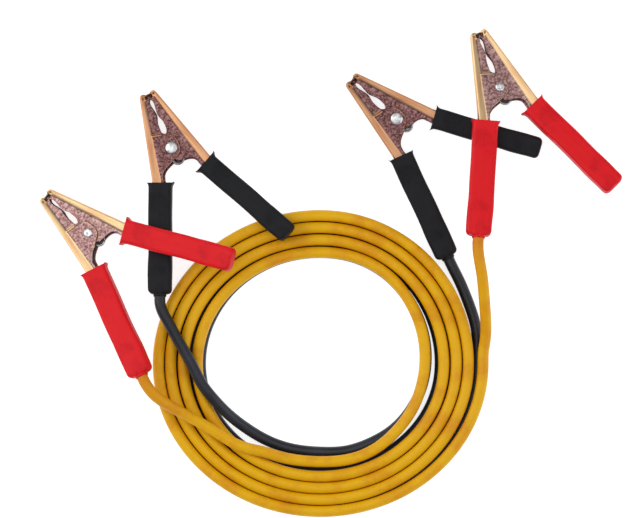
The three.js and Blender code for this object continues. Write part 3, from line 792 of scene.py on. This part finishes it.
def spring_line():
    """A leg, then a helix (radius * cos a, radius * sin a) that widens and rises evenly with the share
    wound of SPRING_TURN degrees, then the short leg."""
    out = TANG_HALF - 1 - 0.3 - WIRE / 2
    leg = GRIP_MOUTH + np.outer([17, 12, 6], GRIP_WAY) + np.outer([out, out, out - 1], GRIP_OUT)
    leg = np.concatenate([leg, [[19.2, -17.8], [14.5, -13.6], [9, -9.4]]])
    leg = np.stack([-leg[:, 0], leg[:, 1], np.full(6, -SPRING_HALF_HEIGHT)], axis=1)
    part = np.linspace(0, 1, 44)
    a = np.radians(SPRING_START - SPRING_TURN * part)
    radius = SPRING_RADIUS - SPRING_TAPER * (1 - part)
    helix = np.stack([
        SPRING_MIDDLE[0] + radius * np.cos(a),
        SPRING_MIDDLE[1] + radius * np.sin(a),
        SPRING_HALF_HEIGHT * (2 * part - 1),
    ], axis=1)
    return smooth_line(np.concatenate([leg, helix, [[7.8, -6.2, SPRING_HALF_HEIGHT]]]), 0.7)


spring_steel = bright_steel("spring_steel", (0.42, 0.42, 0.41, 1), (0.12, 0.12, 0.12, 1), 0.34)
for clamp in clamps:
    wound, faces, laid = round_bar(spring_line(), WIRE / 2, 12)
    piece = new_piece(f"{clamp}_spring_wire", in_row_frame(wound, clamp), faces, spring_steel, laid)
    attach(piece, "cable_set")
    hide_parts(f"{clamp}_spring")

# Grips
# Soft vinyl sleeves, dipped and pulled over the tangs. Each has flat faces, rounded edges, a thin flared rim
# at its mouth with a sharp ear on both sides, and a closed round end or a short neck round the cable.
# GRIP_WIDTHS gives the width of the cable grip, of the free grip, and over the rim.

GRIP_HALF_THICKNESS = 6.0
GRIP_WALL = 0.9
RIM_PROUD = 0.15
CORD_HOLE = 4.4
NECK_LENGTH = 1.9
NECK = CORD_HOLE + 0.5
END_ROUND = 3.8
RIM_REACH = 1.0
GRIP_WIDTHS = {"red": (19.0, 17.8, 21.8), "black": (17.6, 16.0, 20.6)}


def round_oblong(half_width, half_thickness, corner):
    """A rounded oblong round each section: a corner's middle plus corner * (cos a, sin a), with more
    points along the flat faces. Sections differ along the first axis."""
    quarter = np.radians(np.arange(0, 91, 15))
    across = np.linspace(1, -1, 15)[1:-1]
    down = np.linspace(1, -1, 5)[1:-1]
    parts = [
        (np.ones(7), np.ones(7), quarter),
        (across, np.ones(13), np.full(13, np.pi / 2)),
        (-np.ones(7), np.ones(7), quarter + np.pi / 2),
        (-np.ones(3), down, np.full(3, np.pi)),
        (-np.ones(7), -np.ones(7), quarter + np.pi),
        (-across, -np.ones(13), np.full(13, 1.5 * np.pi)),
        (np.ones(7), -np.ones(7), quarter + 1.5 * np.pi),
        (np.ones(3), -down, np.zeros(3)),
    ]
    u, v, a = (np.concatenate([part[k] for part in parts]) for k in range(3))
    out = (half_width - corner)[:, None] * u + corner[:, None] * np.cos(a)
    high = (half_thickness - corner)[:, None] * v + corner[:, None] * np.sin(a)
    return out, high


def sleeve(kind, width, with_cable, seed):
    """The sleeve as one closed grid of sections, from its far end along the outside to the rim and back
    along the inside. Half width and thickness follow the run s from the mouth: full, less a quarter
    round at the end, plus rim * exp(-(s / RIM_REACH)^1.1) at the mouth. Slow waves and a faint ridge over
    the tang's edge are added to the flat faces."""
    length = GRIP_LENGTH[kind]
    half = width / 2
    rim = GRIP_WIDTHS[kind][2] / 2 - half
    u = np.linspace(0, np.pi / 2, 10)
    s_round = length - END_ROUND * (1 - np.cos(u))
    w_round = half - END_ROUND + END_ROUND * np.sin(u)
    if with_cable:
        h_round = GRIP_HALF_THICKNESS - 1.2 + 1.2 * np.sin(u)
        w_round[0] = max(w_round[0], NECK + 0.5)
        keep = w_round > NECK + 0.3
        neck_end = length + NECK_LENGTH
        s_end = np.concatenate([neck_end - np.array([0, 0, 0.2, 0.9, 1.6]), s_round[keep]])
        w_end = np.concatenate([[CORD_HOLE, NECK - 0.25, NECK, NECK, NECK + 0.15], w_round[keep]])
        h_end = np.concatenate([[CORD_HOLE, NECK - 0.25, NECK, NECK, NECK + 0.1], h_round[keep]])
        s_foot = [length - 3, length - 1.2, neck_end]
        w_foot = [6.0, CORD_HOLE, CORD_HOLE]
        h_foot = [4.8, CORD_HOLE, CORD_HOLE]
    else:
        h_round = GRIP_HALF_THICKNESS - 3 + 3 * np.sin(np.minimum(u * 1.35, np.pi / 2))
        s_end = np.concatenate([[length] * 2, s_round])
        w_end = np.concatenate([[0.4, 2.2], w_round + 0.1])
        h_end = np.concatenate([[0.4, 1.6], h_round])
        s_foot = [length - 4, length - 3.5]
        w_foot = [half - 3, 0.4]
        h_foot = [3.0, 0.4]
    rim_steps = [4, 3.2, 2.5, 1.9, 1.4, 1.0, 0.7, 0.4, 0.2, 0.0]
    s_body = np.concatenate([np.linspace(length - 7.5, 5, 44), rim_steps])
    flare = hump(s_body, RIM_REACH, 1.1)
    swell = 0.25 * step_up(s_body - 0.7 * length, 9) - 0.15 * step_up(s_body - 0.86 * length, 6)
    w_body = half + rim * flare + swell
    h_body = GRIP_HALF_THICKNESS + RIM_PROUD * flare
    s_in = np.concatenate([[0.0, 0.5, 1.2, 2.2, 3.5, 6], np.linspace(10, length - 5, 14)])
    flare_in = hump(s_in, RIM_REACH, 1.1)
    w_in = half + rim * flare_in - GRIP_WALL * (1 - 0.6 * flare_in)
    h_in = GRIP_HALF_THICKNESS + RIM_PROUD * flare_in - GRIP_WALL
    s = np.concatenate([s_end, s_body, s_in, s_foot])
    w = np.concatenate([w_end, w_body, w_in, w_foot])
    h = np.concatenate([h_end, h_body, h_in, h_foot])
    corner = np.minimum(np.minimum(w, h), 3.0)
    necked = (s > length + 0.01) | ((w <= CORD_HOLE + 1.3) & (h <= CORD_HOLE + 1.3))
    corner = np.where(necked, np.minimum(w, h), corner)
    out, high = round_oblong(w, h, corner)
    outside = np.arange(len(s)) < len(s_end) + len(s_body)
    along = np.repeat(s[:, None], out.shape[1], axis=1)
    calm = np.clip(along / 8, 0, 1) * np.clip((length - along) / 6, 0, 1) * outside[:, None]
    face = np.clip(np.abs(high) - 5, 0, 1)
    phase = np.random.default_rng(seed).uniform(0, 2 * np.pi, 6)
    waves = 0.1 * np.sin(along / 8.3 + out / 6 + phase[0])
    waves = waves + 0.07 * np.sin(along / 4.7 - out / 3.1 + phase[1])
    ridge = 0.16 * hump(out - 1.2, 0.9) * step_up(0.75 * length - along, 20) - 0.12 * (out / half) ** 2
    high = high + np.sign(high) * calm * face * (waves + ridge - 0.16)
    sway = 0.16 * np.sin(along / 13 + phase[2]) + 0.1 * np.sin(along / 6.1 + phase[3])
    out = out + calm * sway * np.abs(out) / half
    ear = np.clip(np.abs(out) - half, 0, None) / max(rim, 0.1)
    along = along - ear**2 * np.exp(-along / 2)
    return out, along, high


def dipped_vinyl(name, colour, deep, pale, roughness, specular):
    """Dipped vinyl: satin, with slow darker clouds, small flecks and a paler rub along the grip."""
    material, shader = new_material(name, Roughness=roughness, Specular_IOR_Level=specular)
    tree = material.node_tree
    laid = laid_place(tree)
    cloud, grain = patchy(tree, laid, 75, 0.45, 0.7, 1400)
    rubbed, streak = patchy(tree, stretched(tree, laid, (1, 0.1, 1)), 170, 0.56, 0.78, 700)
    flecks = patchy(tree, laid, 520, 0.66, 0.8, 3000)[0]
    tone = blend(tree, cloud, colour, deep)
    tone = blend(tree, rubbed, tone, pale)
    tone = blend(tree, flecks, tone, deep)
    rough = between(tree, grain, roughness - 0.07, roughness + 0.12)
    join_surface(tree, shader, tone, rough, combine(tree, "ADD", grain, streak), 0.3, 0.0003)
    return material


red_vinyl = dipped_vinyl(
    "red_vinyl", (0.64, 0.007, 0.011, 1), (0.54, 0.004, 0.009, 1), (0.7, 0.016, 0.018, 1), 0.4, 0.14
)
black_vinyl = dipped_vinyl(
    "black_vinyl", (0.012, 0.012, 0.013, 1), (0.008, 0.008, 0.009, 1), (0.018, 0.019, 0.021, 1), 0.46, 0.1
)


def grip(clamp, which, side, body, seed):
    """A sleeve placed on its tang, with both ends of the grid closed or joined round the cable."""
    kind = clamp.split("_")[1]
    with_cable = which == "cable_grip"
    width = GRIP_WIDTHS[kind][0 if with_cable else 1]
    out, along, high = sleeve(kind, width, with_cable, seed)
    rows, columns = out.shape
    flat = GRIP_MOUTH + along[..., None] * GRIP_WAY + out[..., None] * GRIP_OUT
    points = np.concatenate([flat, high[..., None]], axis=2).reshape(-1, 3)
    laid = np.stack([out, along, high], axis=2).reshape(-1, 3)
    faces = grid_faces(rows, columns, True)
    first = np.arange(columns)
    last = (rows - 1) * columns + first
    if with_cable:
        onward = (first + 1) % columns
        faces += np.stack([last, last[onward], onward, first], 1).tolist()
    else:
        faces += [first[::-1].tolist(), last.tolist()]
    if side < 0:
        points = points * [-1, 1, 1]
        faces = [face[::-1] for face in faces]
    material = red_vinyl if kind == "red" else black_vinyl
    piece = new_piece(f"{clamp}_{which}_sleeve", in_row_frame(points, clamp), faces, material, laid)
    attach(piece, body)
    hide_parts(f"{clamp}_{which}")


for seed, clamp in enumerate(clamps):
    grip(clamp, "free_grip", 1, f"{clamp}_free_handle", 10 + seed)
    grip(clamp, "cable_grip", -1, "cable_set", 20 + seed)
